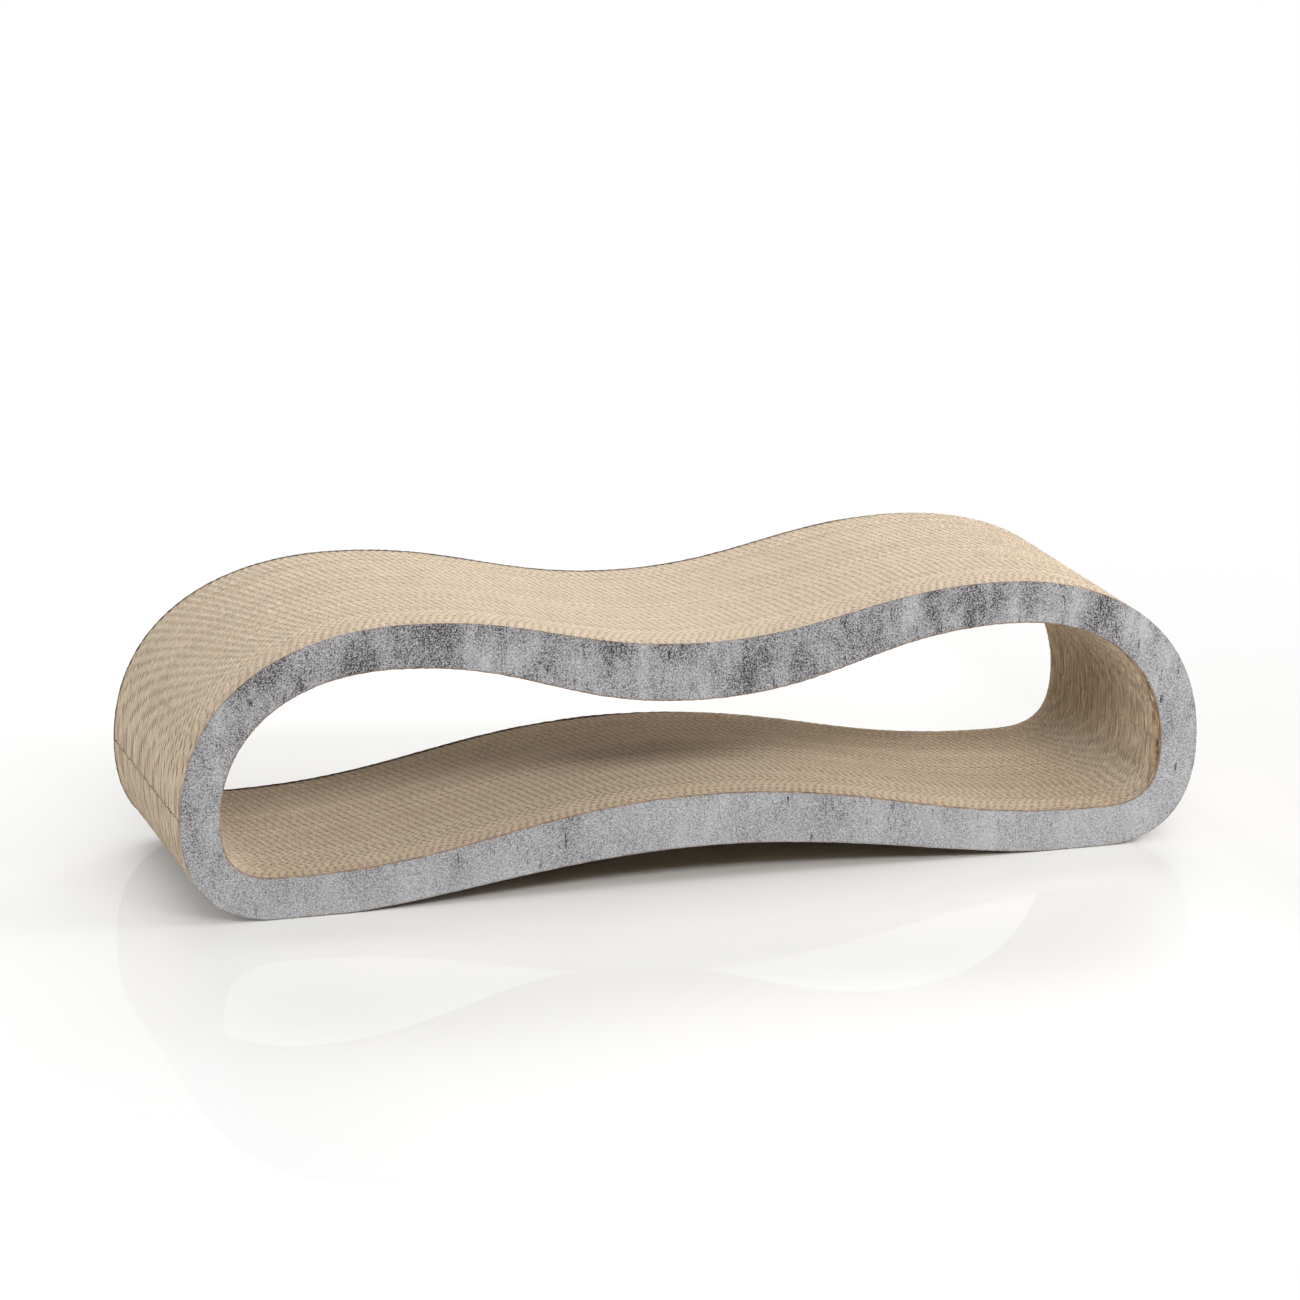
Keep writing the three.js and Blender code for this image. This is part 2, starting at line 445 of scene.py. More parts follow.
# %% [markdown]
# ## Inside of the ends
# Inside both ends of the loop the knife ran along the flutes, so the wall there is streaky. The front
# panel is glued to the first layer, and at the ends some glue was squeezed out and has dried to an
# orange-brown stain, about a centimetre deep. Where both may show is kept as a value on the points of
# each pack, so the material can colour it without a picture. A rounded box that is a little larger than
# the hollow finds those points.

# %% Marks on the points
BOX_X, BOX_REACH_X = 250.0, 129.0  # start of the rounded end and its reach
BOX_Z, BOX_REACH_Z = 105.0, 78.0
ROUNDNESS, BOX_RIM = 2.5, [1.2, 1.6]
END_ZONE, STREAK_ZONE, GLUE_ZONE = [235.0, 310.0], [42.0, 70.0], [35.0, 75.0]
GLUE_DEPTH = 13.0
panel_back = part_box("front_side_panel")[1][1] / MM


def read_places(items, field):
    """Places of points or faces, in millimetres."""
    values = np.empty(3 * len(items), dtype=np.float32)
    items.foreach_get(field, values)
    return values.reshape(-1, 3) / MM


def mark_inside(piece):
    """Values for streaks and glue on the points inside the ends."""
    x, y, z = read_places(piece.data.vertices, "co").T
    along, across = (np.abs(x) - BOX_X) / BOX_REACH_X, (z - BOX_Z) / BOX_REACH_Z
    bulge = np.maximum(along, 0.0) ** ROUNDNESS + np.abs(across) ** ROUNDNESS
    inside = np.interp(bulge, BOX_RIM, [1.0, 0.0]) * np.interp(np.abs(x), END_ZONE, [0.0, 1.0])
    streaky = inside * np.interp(z, STREAK_ZONE, [0.0, 1.0])
    behind = np.interp(y - panel_back, [0.0, 0.6 * GLUE_DEPTH, GLUE_DEPTH], [1.0, 0.9, 0.0])
    glue = inside * behind * np.interp(z, GLUE_ZONE, [0.2, 1.0])
    write_values(piece.data, "inside_end", "POINT", streaky)
    write_values(piece.data, "glue_mark", "POINT", glue)


print("glue may show up to", GLUE_DEPTH, "mm behind the panel")

# %% [markdown]
# ## Packs in place
# A pack is glued up from two layers before the loop is stacked. It is built as three liners with a wavy
# medium in each of the two gaps. The liner in the middle is twice as thick, because two glued faces
# meet there. Every sheet gets a tone of its own, as paper differs from roll to roll, and each layer
# lies slightly out of line with its neighbours. The layers next to the front are the least even ones.

# %% Build the packs
SLIP, LIFT = 0.15, 0.35
UNEVEN, UNEVEN_LAYERS = 0.10, 6
kraft = bpy.data.materials.new("kraft_board")


def build_pack(node):
    """Liners and media between the front and the back face of a pack."""
    half = node.split("_")[0]
    low_corner, high_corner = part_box(node)
    front, back = low_corner[1] / MM, high_corner[1] / MM
    layer = (back - front) / PACK_LAYERS
    sheets, tones = [], []
    for k in range(PACK_LAYERS + 1):
        seam = front + k * layer
        sheets.append(flat_liner(half, max(front, seam - LINER), min(back, seam + LINER)))
        tones.append(rng.normal(0.0, 1.0))
    for k in range(PACK_LAYERS):
        number = PACK_LAYERS * (int(node[-2:]) - 1) + k
        flutes, phase = layer_flutes[half][number]
        uneven = UNEVEN if number < UNEVEN_LAYERS else 0.0
        slip, lift = rng.uniform(-SLIP, SLIP), rng.uniform(-LIFT, LIFT)
        sheets.append(wavy_medium(half, flutes, phase % 1.0, front + k * layer + LINER,
                                  front + (k + 1) * layer - LINER, slip, lift, uneven))
        tones.append(rng.normal(0.0, 1.0))
    fluted = [0.0] * (PACK_LAYERS + 1) + [1.0] * PACK_LAYERS
    return join_sheets(node + "_layers", sheets, tones, fluted, 0.0, kraft)


faces_made = 0
for node in sorted(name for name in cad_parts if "_pack_" in name):
    piece = build_pack(node)
    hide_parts(node)
    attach(piece, "root")
    mark_inside(piece)
    faces_made += len(piece.data.polygons)
print("faces in all packs:", faces_made)

# %% [markdown]
# ## Ring of a side panel
# Each side panel is a ring of board in one piece, so it has no joint. Its printed liner is swept round
# the loop: a small cross-section is placed at each step of the outline, between the outer and the inner
# curve. For that, both curves are needed as closed rings with the same number of steps, and with their
# normals.

# %% Rings and their normals
RING_STEPS = 110
MIRROR = np.array([-1.0, 1.0])


def ring(outline):
    """Closed outline, over the top from left to right and back along the underside."""
    over, under = upper_right(outline, RING_STEPS), lower_right(outline, RING_STEPS)
    return np.vstack([over[:0:-1] * MIRROR, over, under[-2::-1], under[1:-1] * MIRROR])


def outward(points):
    """Unit normals of a closed outline that runs clockwise, pointing out of it."""
    along = np.roll(points, -1, 0) - np.roll(points, 1, 0)
    normal = np.column_stack([-along[:, 1], along[:, 0]])
    return normal / np.linalg.norm(normal, axis=1)[:, None]


outer_ring, inner_ring = ring(OUTER), ring(INNER)
outer_normal, inner_normal = outward(outer_ring), outward(inner_ring)
print("steps round the ring:", len(outer_ring), len(inner_ring))

# %% [markdown]
# ## Printed liner
# The printed paper has a slightly crushed edge, where the knife has pressed it over, and the cut is a
# little frayed. The back panel sits a little to the left, so its edge stands out above the core on the
# left and hides further right. The liner ends just above the floor, so a thin shadow shows under its
# feet.

# %% Cross-section of the print
PRINT_LINER, CRUSH, FOOT_LIFT = 0.45, 0.35, 0.8
PRESSED_OUT, PRESSED_IN = 1.6, 1.8  # width of the strip along each cut where the ink is pressed off
FRAY_OUT, FRAY_IN = 0.10, 0.12
SHOWS_ABOVE, SHOWS_BELOW = [180.0, 280.0], [-20.0, 70.0]  # along X
ROUNDING = 0.3 * CRUSH
# Places across the wall: curve, distance from it, depth behind the print, and how far the ink is off.
SECTION = [
    ("outer", PRESSED_OUT, 0.0, 0.0), ("outer", CRUSH, 0.0, 0.3),
    ("outer", ROUNDING, ROUNDING, 0.6), ("outer", 0.0, CRUSH, 0.8),
    ("outer", 0.0, PRINT_LINER, 1.0), ("inner", 0.0, PRINT_LINER, 1.0),
    ("inner", 0.0, CRUSH, 1.0), ("inner", ROUNDING, ROUNDING, 1.0),
    ("inner", CRUSH, 0.0, 0.9), ("inner", PRESSED_IN, 0.0, 0.0),
]
BARE = (3, 4, 5)  # strips without print: both cut edges and the back


def shows(x, above):
    """1 where a panel's edge stands out and 0 where it hides, above or below the hollow."""
    return np.where(above, np.interp(x, SHOWS_ABOVE, [1.0, 0.0]), np.interp(x, SHOWS_BELOW, [1.0, 0.0]))


print("the cross-section has", len(SECTION), "places, the print is", PRINT_LINER, "mm thick")

# %% [markdown]
# ## Print swept round the ring
# At each step of the ring the cross-section is set square to the outline. The sweep gives clean strips
# of faces along the loop, so the pressed edge stays equally wide all round.

# %% Sweep of the print


def printed_ring(outside, inwards, proud_out, proud_in):
    """Points, faces, bare-edge values and a mask of the printed faces."""
    fray_out = rng.normal(0.0, FRAY_OUT, len(outer_ring)) - proud_out * shows(outer_ring[:, 0], True)
    fray_in = rng.normal(0.0, FRAY_IN, len(inner_ring)) - proud_in * shows(inner_ring[:, 0], False)
    columns = []
    for curve, inset, deep, _ in SECTION:
        if curve == "outer":
            flat = outer_ring - outer_normal * (inset + fray_out)[:, None]
        else:
            flat = inner_ring + inner_normal * (inset + fray_in)[:, None]
        y = np.full(len(flat), outside + inwards * deep)
        columns.append(np.column_stack([flat[:, 0], y, np.maximum(flat[:, 1], FOOT_LIFT)]))
    count, around = len(SECTION), len(outer_ring)
    here = np.arange(around) * count
    there = np.roll(here, -1)
    faces = []
    for r in range(count):
        s = (r + 1) % count
        quad = (here + r, here + s, there + s, there + r)
        faces.append(np.column_stack(quad if inwards > 0 else quad[::-1]))
    printed = np.repeat([r not in BARE for r in range(count)], around)
    edge = np.tile([row[3] for row in SECTION], around)
    return np.stack(columns, 1).reshape(-1, 3), np.vstack(faces), edge, printed


test_points, test_faces, _, _ = printed_ring(0.0, 1.0, 0.0, 0.0)
print("printed liner:", len(test_points), "points,", len(test_faces), "faces")

# %% [markdown]
# ## Side panels
# Behind the printed liner come flutes and an inner liner of plain board, made with the same helpers as
# the packs. Board and print are two pieces, so that each has its own finish. The bare edge of the print
# is kraft paper like the board.

# %% Board and print of a panel
PANEL_THICKNESS = 3.0
EDGE_SPREAD, BARE_ROW = 3, 300.0  # give the cut edges and the bare strips room on the map
print_finish = bpy.data.materials.new("concrete_print")


def panel_board(node, outside, inwards, darkness):
    """Flutes and inner liner. The print lies at the place outside, and inwards is 1 or -1 along Y."""
    liner_in, liner_out = outside + inwards * PRINT_LINER, outside + inwards * PANEL_THICKNESS
    between = liner_out - inwards * LINER
    sheets, tones = [], []
    for half in ("upper", "lower"):
        sheets.append(flat_liner(half, *sorted([liner_out, between])))
        sheets.append(wavy_medium(half, FLUTES, rng.uniform(), *sorted([liner_in, between])))
        tones += [rng.normal(0.0, 1.0), rng.normal(0.0, 1.0)]
    return join_sheets(node + "_board", sheets, tones, [0.0, 1.0] * 2, darkness, kraft)


def panel_print(node, outside, inwards, proud_out, proud_in, darkness):
    """Printed liner that stands out by the proud values where its edge shows."""
    points, faces, edge, printed = printed_ring(outside, inwards, proud_out, proud_in)
    x, y, z = points[faces.ravel()].T
    bare_row = np.repeat(np.where(printed, 0.0, BARE_ROW), 4)
    uv = np.column_stack([x + OUTER_END, z + EDGE_SPREAD * np.abs(y - outside) + bare_row]) / LENGTH
    on_all = {"cut_edge": 1.0, "sheet_tone": 0.0, "fluted_paper": 0.0, "edge_dark": darkness}
    values = {name: np.full(len(faces), value) for name, value in on_all.items()}
    face = mesh_piece(node + "_print", points * MM, faces, uv, values, [print_finish, kraft])
    face.data.polygons.foreach_set("material_index", np.where(printed, 0, 1).astype(np.int32))
    write_values(face.data, "pressed_edge", "POINT", edge)
    return face


print("a panel is", PANEL_THICKNESS, "mm thick")

# %% [markdown]
# ## Panels in place
# The front panel covers the core almost flush. The photograph shows the dark edge of the back panel as
# a fine line behind the top and along the floor inside, and the line fades towards the right. That edge
# is kept as a value on the faces, so it can fade in the same way.

# %% Both panels
HIDDEN_DARK = 0.1


def side_panel(node, outside, inwards, proud_out, proud_in, darkness):
    """Board and print of one panel, in place of its solid."""
    board = panel_board(node, outside, inwards, darkness)
    face = panel_print(node, outside, inwards, proud_out, proud_in, darkness)
    for piece, slot in ((board, "corrugated_board"), (face, "printed_board")):
        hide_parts(node)
        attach(piece, "root")
    return board, face


def fade_edge(piece):
    """Dark edge only where the panel stands out."""
    x, _, z = read_places(piece.data.polygons, "center").T
    dark = HIDDEN_DARK + (1.0 - HIDDEN_DARK) * shows(x, z > SEAM_HEIGHT)
    piece.data.attributes["edge_dark"].data.foreach_set("value", dark.astype(np.float32))


front_face, back_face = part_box("front_side_panel")[0][1] / MM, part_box("back_side_panel")[1][1] / MM
front_board, _ = side_panel("front_side_panel", front_face, 1.0, proud_out=0.0, proud_in=0.2, darkness=0.45)
mark_inside(front_board)
for piece in side_panel("back_side_panel", back_face, -1.0, proud_out=0.5, proud_in=0.9, darkness=1.0):
    fade_edge(piece)

# %% [markdown]
# ## Helpers for materials
# All colours come from noise and from the values on the mesh, so no picture is needed, and the finish
# fits the part wherever it is used. The helpers below add a node and feed its sockets.

# %% Nodes and sums


def feed(tree, node, values):
    """Give sockets of a node a number, a colour, a vector or a link."""
    for name, value in values.items():
        socket = node.inputs[name]
        if isinstance(value, bpy.types.NodeSocket):
            tree.links.new(value, socket)
        else:
            socket.default_value = (*value, 1.0) if socket.type == "RGBA" else value


def add(tree, kind, values=None, **settings):
    """New node with its settings and the values for its sockets."""
    node = tree.nodes.new(kind)
    for key, value in settings.items():
        setattr(node, key, value)
    feed(tree, node, values or {})
    return node


def calc(tree, operation, *values):
    """One sum of numbers and sockets."""
    return add(tree, "ShaderNodeMath", dict(enumerate(values)), operation=operation).outputs["Value"]


def linear(tree, value, gain, base):
    """Value times gain, plus base."""
    return calc(tree, "MULTIPLY_ADD", value, gain, base)


def clamp(tree, value, low, high):
    return calc(tree, "MINIMUM", calc(tree, "MAXIMUM", value, low), high)


print("helpers for sums: calc, linear, clamp")

# %% [markdown]
# ## Ramps and blends
# A ramp turns a distance into a share from 0 to 1, and a blend mixes two colours by such a share. Each
# finish is a chain of blends, from the plain paper to the marks on top of it.

# %% Ramps and blends


def ramp_up(tree, value, start, stop, course="LINEAR"):
    """0 below start, 1 above stop and rising between them."""
    limits = {"Value": value, "From Min": start, "From Max": stop}
    return add(tree, "ShaderNodeMapRange", limits, interpolation_type=course).outputs["Result"]


def ramp_down(tree, value, start, stop):
    return calc(tree, "SUBTRACT", 1.0, ramp_up(tree, value, start, stop))


def blend(tree, factor, first, second, mode="MIX"):
    """Colour between two others, or their product in the mode MULTIPLY."""
    sockets = {0: factor, 6: first, 7: second}
    return add(tree, "ShaderNodeMix", sockets, data_type="RGBA", blend_type=mode).outputs[2]


print("helpers for shares and colours: ramp_up, ramp_down, blend")

# %% [markdown]
# ## Places and patterns
# Every pattern is solid noise in the part's own metres, so it runs through the board and not over a
# map. A pattern that is drawn out upright gives the runs and tears that the flutes and the print show.

# %% Noise, axes and mesh values


def stretch(tree, vector, scale):
    """Places times a scale for each axis."""
    return add(tree, "ShaderNodeMapping", {"Vector": vector, "Scale": scale}).outputs["Vector"]


def noise(tree, vector, scale, detail, roughness=0.5, upright=1.0):
    """Solid noise from 0 to 1. A smaller value for upright draws it out along Z."""
    if upright != 1.0:
        vector = stretch(tree, vector, (1.0, 1.0, upright))
    values = {"Vector": vector, "Scale": scale, "Detail": detail, "Roughness": roughness}
    return add(tree, "ShaderNodeTexNoise", values).outputs["Fac"]


def around_zero(tree, value):
    return calc(tree, "SUBTRACT", value, 0.5)


def mesh_value(tree, name):
    """Value that the mesh keeps under a name."""
    return add(tree, "ShaderNodeAttribute", attribute_name=name).outputs["Fac"]


def split_axes(tree, place):
    return add(tree, "ShaderNodeSeparateXYZ", {0: place}).outputs


def start_material(material):
    """Node tree of a material, its shader and the place on the part."""
    material.use_nodes = True
    tree = material.node_tree
    return tree, tree.nodes["Principled BSDF"], add(tree, "ShaderNodeTexCoord").outputs["Object"]


print("materials to fill:", [material.name for material in (kraft, print_finish)])

# %% [markdown]
# ## Paper fibre
# Kraft board and printed board are both paper, so both show short fibres and soft clouds. That effect
# is a node group with named inputs, used by each material with its own values.

# %% Node group for paper fibre
FIBRE_SIZE, CLOUD_SCALE, CLOUD_HEIGHT = 900.0, 45.0, 0.3

fibre_group = bpy.data.node_groups.new("paper_fibre", "ShaderNodeTree")
new_socket = fibre_group.interface.new_socket
new_socket("Vector", in_out="INPUT", socket_type="NodeSocketVector")
new_socket("Fibre Size", in_out="INPUT", socket_type="NodeSocketFloat").default_value = FIBRE_SIZE
for label in ("Fibre", "Cloud", "Height"):
    new_socket(label, in_out="OUTPUT", socket_type="NodeSocketFloat")
fibre_in = add(fibre_group, "NodeGroupInput").outputs
scaled = add(fibre_group, "ShaderNodeVectorMath",
             {0: fibre_in["Vector"], "Scale": fibre_in["Fibre Size"]}, operation="SCALE").outputs[0]
fine = noise(fibre_group, scaled, scale=1.0, detail=3.0, roughness=0.6, upright=0.35)
cloud = noise(fibre_group, fibre_in["Vector"], CLOUD_SCALE, detail=3.0)
height = linear(fibre_group, cloud, CLOUD_HEIGHT, fine)
add(fibre_group, "NodeGroupOutput", {"Fibre": fine, "Cloud": cloud, "Height": height})
print("group", fibre_group.name, "has", len(fibre_group.nodes), "nodes")

# %% [markdown]
# ## Paper in a material
# Both finishes begin with the fibre group and end with the same things on their shader: a colour, a
# gloss and the fine relief of the fibres.

# %% Begin and end of a paper finish
FIBRE_RELIEF = 0.0002


def paper_fibre(tree, place, size):
    """Outputs of the fibre group at a place, for one size of fibre."""
    values = {"Vector": place, "Fibre Size": size}
    return add(tree, "ShaderNodeGroup", values, node_tree=fibre_group).outputs


def finish_paper(tree, shader, colour, height, roughness, gloss, relief):
    """Set up the shader of a paper finish."""
    bump = add(tree, "ShaderNodeBump", {"Strength": relief, "Distance": FIBRE_RELIEF, "Height": height})
    feed(tree, shader, {"Base Color": colour, "Normal": bump.outputs["Normal"],
                        "Roughness": roughness, "Specular IOR Level": gloss})


print("relief of the fibres:", FIBRE_RELIEF / MM, "mm")

# %% [markdown]
# ## Kraft board: paper
# The board is pale brown kraft paper with a dull sheen. Every sheet has a slightly different tone. The
# medium is darker than the liners, and so are the cut edges, where one looks into the fibres: the
# liners show as pale dots in the flutes. Towards the ends the knife meets the flutes at a slant and
# tears them, so the tone varies more and more with the distance from the middle.

# %% Tones of the paper
LINER_DARK, LINER_PALE = (0.79, 0.665, 0.51), (0.97, 0.865, 0.71)
FLUTING_DARK, FLUTING_PALE = (0.525, 0.412, 0.298), (0.75, 0.618, 0.466)
CUT_COLOUR, CUT_COVER = (0.63, 0.535, 0.42), 0.55
TONE_SPREAD, CLOUD_SPREAD = 0.13, 0.4
SLANT = (0.12, 0.36)  # metres from the middle

tree, shader, place = start_material(kraft)
fibre = paper_fibre(tree, place, FIBRE_SIZE)
axes = split_axes(tree, place)
to_end = calc(tree, "ABSOLUTE", axes["X"])
rough_cut = ramp_up(tree, to_end, *SLANT)
tears = around_zero(tree, noise(tree, place, scale=420.0, detail=2.0, roughness=0.6, upright=0.12))
tears = calc(tree, "MULTIPLY", tears, linear(tree, rough_cut, gain=0.8, base=0.7))
mixed = linear(tree, mesh_value(tree, "sheet_tone"), TONE_SPREAD, fibre["Fibre"])
mixed = linear(tree, fibre["Cloud"], CLOUD_SPREAD, mixed)
mixed = linear(tree, calc(tree, "ADD", mixed, tears), gain=1.1, base=-0.27)
liner_paper = blend(tree, mixed, LINER_DARK, LINER_PALE)
fluting_paper = blend(tree, mixed, FLUTING_DARK, FLUTING_PALE)
paper = blend(tree, mesh_value(tree, "fluted_paper"), liner_paper, fluting_paper)
cut_edge = mesh_value(tree, "cut_edge")
paper = blend(tree, calc(tree, "MULTIPLY", cut_edge, CUT_COVER), paper, CUT_COLOUR)
print("paper tones take", len(tree.nodes), "nodes")

# %% [markdown]
# ## Kraft board: nap, streaks and painted shade
# Torn fibres stand up as a nap, which is strongest on the outer flanks of the humps. Inside the ends
# the opened flutes show as fine upright streaks. In the hollow the paper is darkened and warmed with
# painted shade, most on the left.

# %% Nap, streaks and painted shade
HUMP_STOP, FLOOR_STOP = (0.33, 0.39), (0.34, 0.37)  # metres from the middle
FLOOR_TOP = (0.085, 0.10)  # height at which the floor inside ends
# Colours of the painted shade in the hollow, on the left and on the right.
SHADE_LEFT, SHADE_RIGHT = (0.88, 0.85, 0.81), (1.0, 0.97, 0.92)
SHADE_SPAN = (-0.2, 0.25)
STREAK_DEPTH, LEAST_NAP = 1.7, 0.1

nap = around_zero(tree, noise(tree, place, scale=640.0, detail=2.0, roughness=0.7, upright=0.45))
on_hump = ramp_down(tree, to_end, *HUMP_STOP)
nap_depth = calc(tree, "MULTIPLY", rough_cut, linear(tree, on_hump, gain=0.7, base=0.45))
nap = linear(tree, nap, calc(tree, "ADD", nap_depth, LEAST_NAP), 1.0)
inside_end = mesh_value(tree, "inside_end")
open_flute = calc(tree, "MULTIPLY", calc(tree, "SUBTRACT", 1.0, cut_edge), inside_end)
streaks = around_zero(tree, noise(tree, place, scale=330.0, detail=2.0, roughness=0.6, upright=0.16))
nap = linear(tree, calc(tree, "MULTIPLY", streaks, open_flute), STREAK_DEPTH, nap)
paper = blend(tree, 1.0, paper, nap, "MULTIPLY")
# Painted shade: low places and the inside of the ends get a darker, warmer colour, most on the left.
on_floor = ramp_down(tree, axes["Z"], *FLOOR_TOP)
on_floor = calc(tree, "MULTIPLY", on_floor, ramp_down(tree, to_end, *FLOOR_STOP))
painted_shade = blend(tree, ramp_up(tree, axes["X"], *SHADE_SPAN), SHADE_LEFT, SHADE_RIGHT)
paper = blend(tree, calc(tree, "MAXIMUM", on_floor, inside_end), paper, painted_shade, "MULTIPLY")
print("with nap, streaks and hollow:", len(tree.nodes), "nodes")

# %% [markdown]
# ## Kraft board: glue and dark edges
# Dried glue and the dark edges of the side panels are laid over the paper where the values on the mesh
# allow them. Both are patchy: glue spreads unevenly, and the dark colour on an edge follows a soft
# cloud.

# %% Glue, dark edges and finish
GLUE_DARK, GLUE_PALE = (0.13, 0.065, 0.035), (0.82, 0.54, 0.27)
GLUE_COVER = 0.9
DARK_EDGE_COLOUR = (0.085, 0.062, 0.056)

glue_spread = noise(tree, place, scale=160.0, detail=3.0, roughness=0.6)
glue_spread = linear(tree, glue_spread, gain=4.0, base=-1.2)
glue = calc(tree, "MULTIPLY", mesh_value(tree, "glue_mark"), glue_spread)
glue_depth = noise(tree, place, scale=95.0, detail=3.0, roughness=0.7)
glue_depth = linear(tree, glue_depth, gain=4.0, base=-1.5)
dried_glue = blend(tree, glue_depth, GLUE_DARK, GLUE_PALE)
paper = blend(tree, clamp(tree, glue, 0.0, GLUE_COVER), paper, dried_glue)
# Dark colour laid on the cut edges of the side panels, patchy with the cloud of the fibre group.
dark_edge = calc(tree, "MULTIPLY", mesh_value(tree, "edge_dark"), cut_edge)
dark_edge = calc(tree, "MULTIPLY", dark_edge, linear(tree, fibre["Cloud"], gain=0.9, base=0.4))
paper = blend(tree, dark_edge, paper, DARK_EDGE_COLOUR)
finish_paper(tree, shader, paper, fibre["Height"], roughness=0.75, gloss=0.5, relief=0.25)
print("kraft board has", len(tree.nodes), "nodes")

# %% [markdown]
# ## Concrete print: cover
# The side panels carry a printed concrete look: a cool grey with darker patches and upright run marks.
# One value, the cover, says how dark a place is. It grows with the height and towards the left end, as
# in the photograph. Patches and runs are noise of the same size and contrast as in the photograph, and
# the sheet is shifted until they fall in much the same way.

# %% Cover of the print
SHEET_SHIFT = (0.042, -1.705, 0.459)
PATCH_DEPTH, RUN_DEPTH = 2.1, 0.6

tree, shader, place = start_material(print_finish)
fibre = paper_fibre(tree, place, size=500.0)
shifted = add(tree, "ShaderNodeVectorMath", {0: place, 1: SHEET_SHIFT}, operation="ADD").outputs[0]
patches = noise(tree, shifted, scale=30.0, detail=3.0, roughness=0.6, upright=0.6)
runs = noise(tree, shifted, scale=130.0, detail=3.0, roughness=0.6, upright=0.14)
axes = split_axes(tree, place)
cover = linear(tree, axes["X"], gain=-0.42, base=0.60)
for pattern, depth in ((patches, PATCH_DEPTH), (runs, RUN_DEPTH)):
    cover = linear(tree, around_zero(tree, pattern), depth, cover)
cover = calc(tree, "MULTIPLY", cover, linear(tree, axes["Z"], gain=3.6, base=0.385))
cover = clamp(tree, cover, 0.0, 1.0)
print("the cover takes", len(tree.nodes), "nodes")

# %% [markdown]
# ## Concrete print: grain and worn edge
# Over the patches lies a dense speckle of grains about a millimetre wide, coarser where the cover is
# high, and a few dark upright marks. Along the knife cut the ink is pressed off, and bare paper shows
# as a thin brown line.

# %% Grain, marks and worn edge
TONE_LEAST, TONE_MOST = 0.03, 0.75
MARK_START, MARK_DEPTH = 0.70, 2.5
TINT_PALE, TINT_DARK = (0.99, 1.0, 1.025), (1.02, 0.985, 1.02)
BARE_DARK, BARE_PALE = (0.10, 0.06, 0.04), (0.40, 0.215, 0.10)

grain = around_zero(tree, noise(tree, place, scale=830.0, detail=1.0))
tone = linear(tree, cover, gain=-0.365, base=0.51)
tone = linear(tree, grain, linear(tree, cover, gain=0.75, base=0.68), tone)
marks = noise(tree, place, scale=260.0, detail=1.0, upright=0.22)
marks = calc(tree, "MAXIMUM", calc(tree, "SUBTRACT", marks, MARK_START), 0.0)
tone = calc(tree, "SUBTRACT", tone, calc(tree, "MULTIPLY", marks, MARK_DEPTH))
tone = clamp(tree, tone, TONE_LEAST, TONE_MOST)
inked = blend(tree, 1.0, tone, blend(tree, cover, TINT_PALE, TINT_DARK), "MULTIPLY")
wear = linear(tree, runs, gain=1.2, base=0.3)
wear = calc(tree, "MULTIPLY", mesh_value(tree, "pressed_edge"), wear)
torn = noise(tree, place, scale=210.0, detail=2.0, roughness=0.6)
bare_paper = blend(tree, linear(tree, torn, gain=3.0, base=-1.0), BARE_DARK, BARE_PALE)
inked = blend(tree, wear, inked, bare_paper)
finish_paper(tree, shader, inked, fibre["Height"], roughness=0.62, gloss=0.3, relief=0.12)
print("concrete print has", len(tree.nodes), "nodes")

# %% [markdown]
# ## Studio floor
# The object stands on a plain pale floor that reaches far beyond the picture. The floor belongs to the
# studio and not to the part, so it is only staged.

# %% Floor
FLOOR_CORNERS = [(-15, -12, 0), (15, -12, 0), (15, 25, 0), (-15, 25, 0)]

floor_mesh = bpy.data.meshes.new("studio_floor")
floor_mesh.from_pydata(FLOOR_CORNERS, [], [(0, 1, 2, 3)])
floor = bpy.data.objects.new("studio_floor", floor_mesh)
bpy.context.scene.collection.objects.link(floor)
floor_finish = bpy.data.materials.new("pale_floor")
floor_mesh.materials.append(floor_finish)
print("floor from", FLOOR_CORNERS[0], "to", FLOOR_CORNERS[2])

# %% [markdown]
# ## Finish of the floor
# Around the object the floor is an ordinary lit surface with a faint gloss, so it takes the shadow and
# a weak mirror image. Beside the two ends the photograph's floor is more evenly bright, so part of the
# lit surface gives way to a steady glow there. Further out the floor turns to pure white. Both changes
# are for the camera and for reflections only: the light that the floor throws back onto the object
# stays the same.

# %% Floor finish
FLOOR_COLOUR, BLACK = (0.872, 0.867, 0.852), (0.0, 0.0, 0.0)
BESIDE, BESIDE_SHARE = (0.32, 0.44), 0.45  # metres from the middle, share of the glow
OVAL, WHITE_FADE = (1.33, 1.61, 1.0), (0.60, 1.70)  # scale of the oval, parts of it


def seen_directly(tree):
    """1 for rays from the camera, from reflections and through glass, and 0 for light on things."""
    path = add(tree, "ShaderNodeLightPath").outputs
    mirrored = calc(tree, "MAXIMUM", path["Is Glossy Ray"], path["Is Transmission Ray"])
    return calc(tree, "MAXIMUM", path["Is Camera Ray"], mirrored)


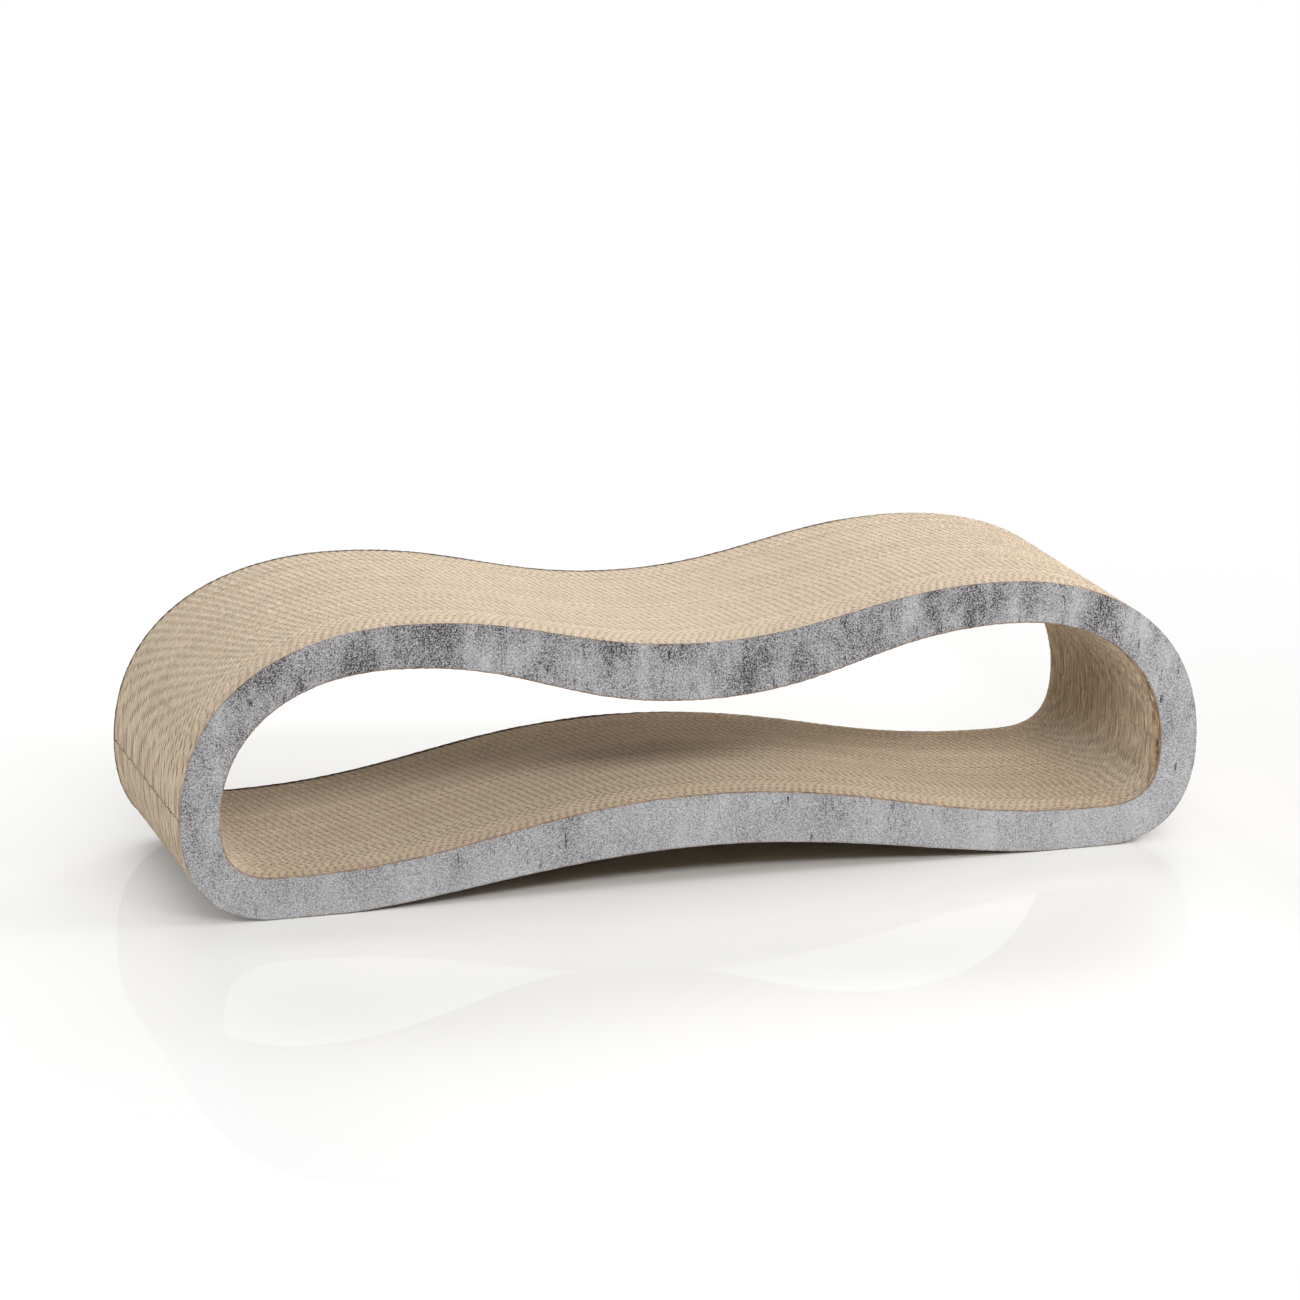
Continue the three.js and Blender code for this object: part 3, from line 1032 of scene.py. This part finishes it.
tree, shader, place = start_material(floor_finish)
axes = split_axes(tree, place)
beside = ramp_up(tree, calc(tree, "ABSOLUTE", axes["X"]), *BESIDE)
beside = calc(tree, "MULTIPLY", calc(tree, "MULTIPLY", beside, BESIDE_SHARE), seen_directly(tree))
glow = calc(tree, "MULTIPLY", beside, linear(tree, axes["X"], gain=-0.3, base=0.735))
lit_floor = blend(tree, beside, FLOOR_COLOUR, BLACK)
feed(tree, shader, {"Base Color": lit_floor, "Roughness": 0.01, "Specular IOR Level": 0.055,
                    "Emission Color": glow, "Emission Strength": 1.0})
away = add(tree, "ShaderNodeVectorMath", {0: stretch(tree, place, OVAL)}, operation="LENGTH")
far_out = ramp_up(tree, away.outputs["Value"], *WHITE_FADE, course="SMOOTHSTEP")
far_out = calc(tree, "MULTIPLY", far_out, seen_directly(tree))
white = add(tree, "ShaderNodeEmission")
mix = add(tree, "ShaderNodeMixShader", {0: far_out, 1: shader.outputs[0], 2: white.outputs[0]})
feed(tree, tree.nodes["Material Output"], {"Surface": mix.outputs[0]})
print("floor turns white between", *WHITE_FADE, "of its oval")

# %% [markdown]
# ## Studio light
# Five soft lamps stand round the object: overhead, in front, behind and at both sides. The front one is
# long and flat and stands at about 38 degrees, because the shadow on the floor inside the loop ends
# there in the photograph. The strengths were found by rendering each lamp alone and weighing the
# pictures against the photograph. Together they light the top of the object at about 1, so a colour
# shows about as it is written.

# %% Lamps
LAMP_AIM = Vector((0.0, 0.0, 0.1))
# Name, place, width and depth in metres, power in watts.
LAMPS = [("overhead_softbox", (0.0, 0.0, 2.8), 3.0, 3.0, 31.0),
         ("front_softbox", (0.0, -2.55, 2.1), 3.0, 0.7, 56.0),
         ("back_softbox", (0.8, 2.6, 1.9), 3.0, 1.2, 82.0),
         ("left_softbox", (-3.0, -0.6, 1.3), 2.0, 2.0, 26.0),
         ("right_softbox", (3.0, -0.6, 1.5), 2.0, 2.0, 76.0)]

for name, lamp_place, width, depth, power in LAMPS:
    data = bpy.data.lights.new(name, "AREA")
    data.shape = "RECTANGLE"
    data.size, data.size_y, data.energy = width, depth, power
    lamp = bpy.data.objects.new(name, data)
    lamp.location = lamp_place
    lamp.rotation_euler = (LAMP_AIM - Vector(lamp_place)).to_track_quat("-Z", "Y").to_euler()
    bpy.context.scene.collection.objects.link(lamp)
print("lamps:", [lamp[0] for lamp in LAMPS])

# %% [markdown]
# ## Backdrop
# The background of the photograph is pure white. The sky is white at strength 1 for the camera and for
# reflections, but on the object it only lifts the deepest shade a little. The picture is shown with
# plain colours, so the view transform is the standard one.

# %% Sky
WHITE, SKY_FILL = (1.0, 1.0, 1.0), 0.012

world = bpy.data.worlds.new("studio_sky")
bpy.context.scene.world = world
world.use_nodes = True
tree = world.node_tree
fill = tree.nodes["Background"]
feed(tree, fill, {"Color": WHITE, "Strength": SKY_FILL})
backdrop = add(tree, "ShaderNodeBackground", {"Color": WHITE})
shares = {0: seen_directly(tree), 1: fill.outputs[0], 2: backdrop.outputs[0]}
mix = add(tree, "ShaderNodeMixShader", shares)
feed(tree, tree.nodes["World Output"], {"Surface": mix.outputs[0]})
bpy.context.scene.view_settings.view_transform = "Standard"
print("sky fills the shade at", SKY_FILL)
